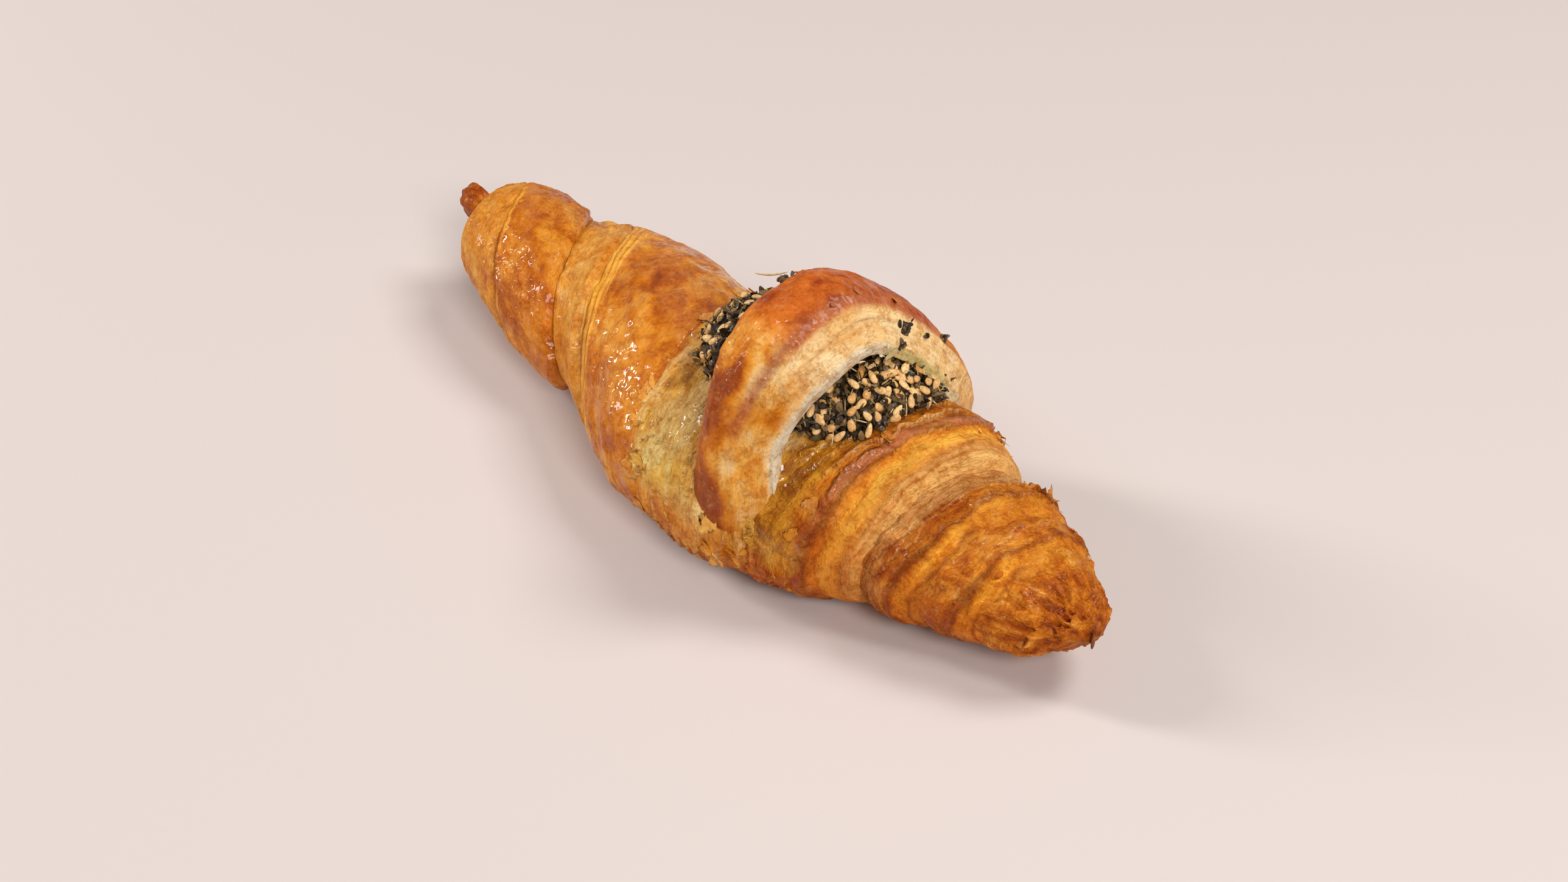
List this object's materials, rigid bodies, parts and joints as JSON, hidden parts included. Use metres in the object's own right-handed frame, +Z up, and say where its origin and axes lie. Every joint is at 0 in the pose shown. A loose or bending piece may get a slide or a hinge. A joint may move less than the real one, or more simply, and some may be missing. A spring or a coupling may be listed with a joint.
{
  "type": "filled croissant",
  "caption": "Baked croissant of layered dough with a bowed roll, a long slim arm, a short thick arm and an arch of dough over a filling of sesame seeds and dried herbs",
  "frame": {"origin": "middle of the underside, below the centre of the bounding box, on the surface the croissant rests on", "axes": "+X runs along the roll from the long slim arm to the short thick arm, +Y towards the back, where both arms bow, -Y towards the front with the arch's free end, +Z up"},
  "size_m": [0.2042, 0.0712, 0.067],
  "materials": {
    "crust": "glossy golden brown crust with paler layered cut edges",
    "seeds": "matt dark herbs with pale seeds"
  },
  "bodies": {
    "root": {"dough": "crust", "seed_filling": "seeds"}
  },
  "joints": []
}
